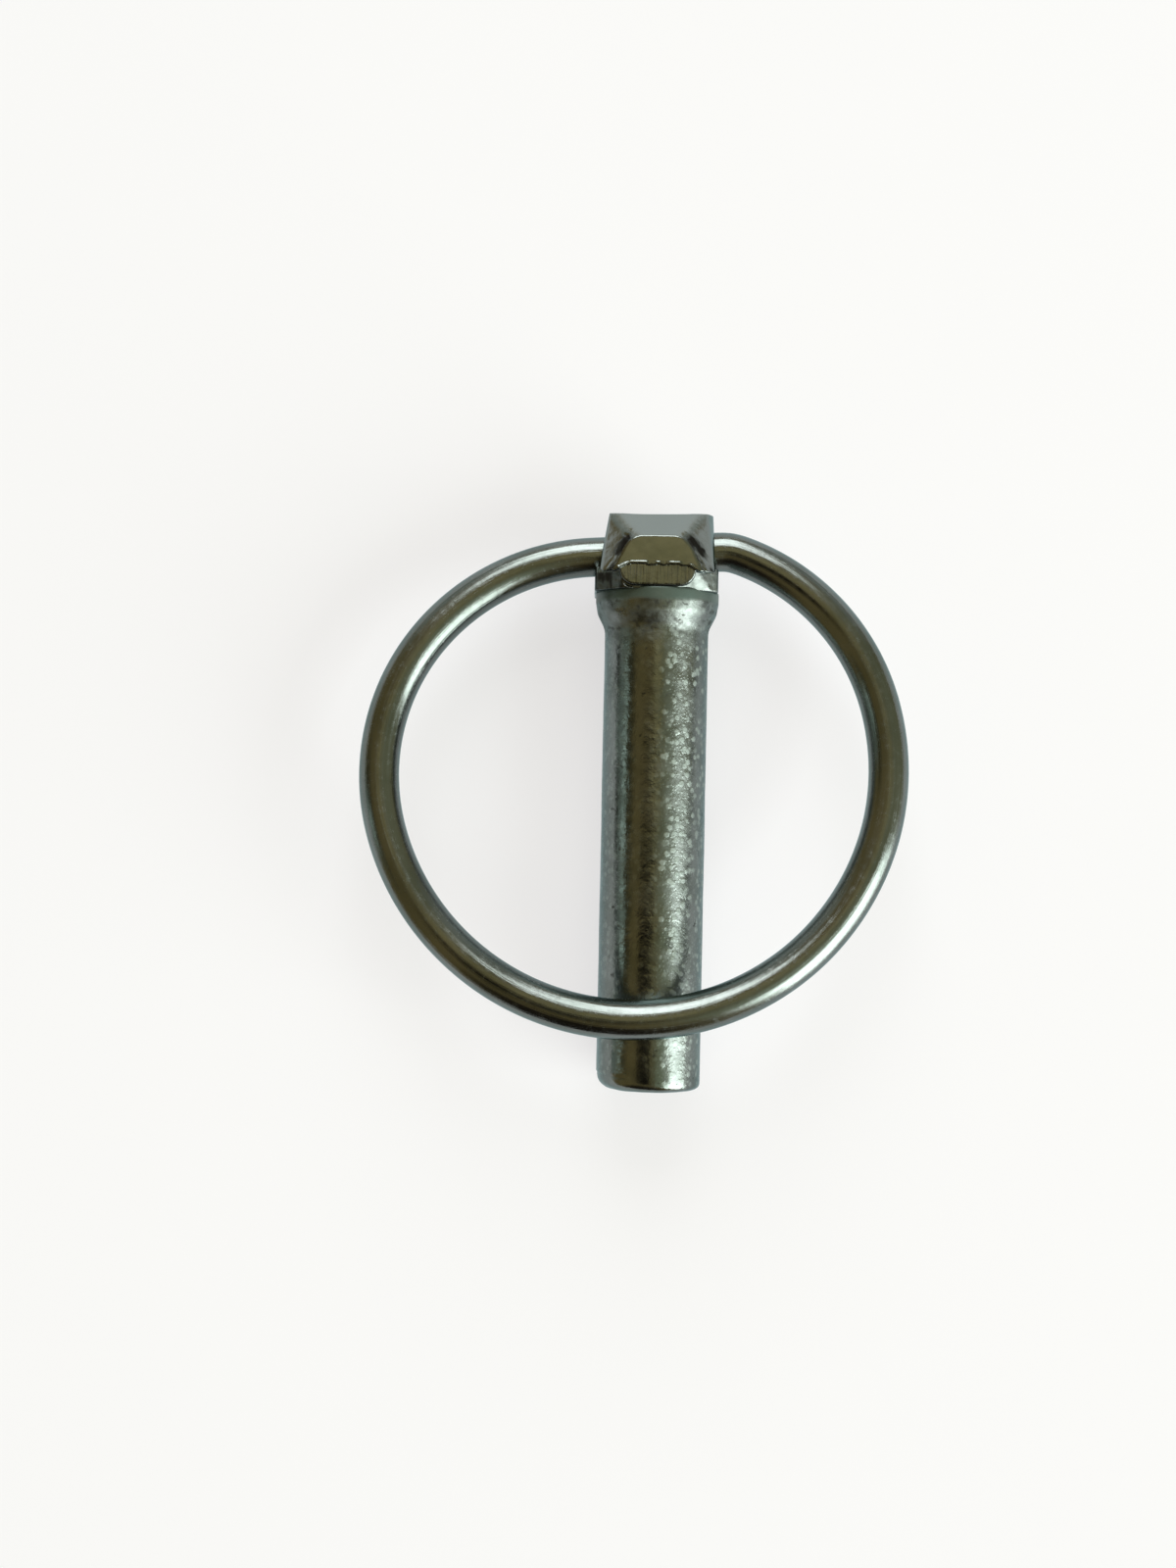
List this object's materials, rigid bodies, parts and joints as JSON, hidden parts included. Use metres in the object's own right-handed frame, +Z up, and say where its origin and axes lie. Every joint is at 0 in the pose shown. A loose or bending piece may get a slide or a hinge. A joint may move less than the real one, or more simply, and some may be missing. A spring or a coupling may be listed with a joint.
{
  "type": "linch pin",
  "caption": "Forged locking pin with a pressed faceted head and a spring wire ring that swings in a cross bore and closes over the shank.",
  "frame": {"origin": "on the shank's axis, where its straight wall starts under the neck", "axes": "+Y along the shank towards the head, +Z up from the front of the pin as it lies on its back with the ring on top, +X to the right"},
  "size_m": [0.0523, 0.0552, 0.0151],
  "materials": {
    "pin_steel": "zinc plated over a finely pitted forged skin",
    "ring_steel": "bright zinc plated drawn wire"
  },
  "bodies": {
    "pin": {"pin_body": "pin_steel"},
    "ring": {"spring_ring": "ring_steel"}
  },
  "joints": [
    {"name": "ring_swing", "type": "hinge", "parent": "pin", "child": "ring", "pos_m": [0, 0.0079, 0], "axis": [-0.9981, -0.061, 0], "range_deg": [0, 341.96]}
  ]
}
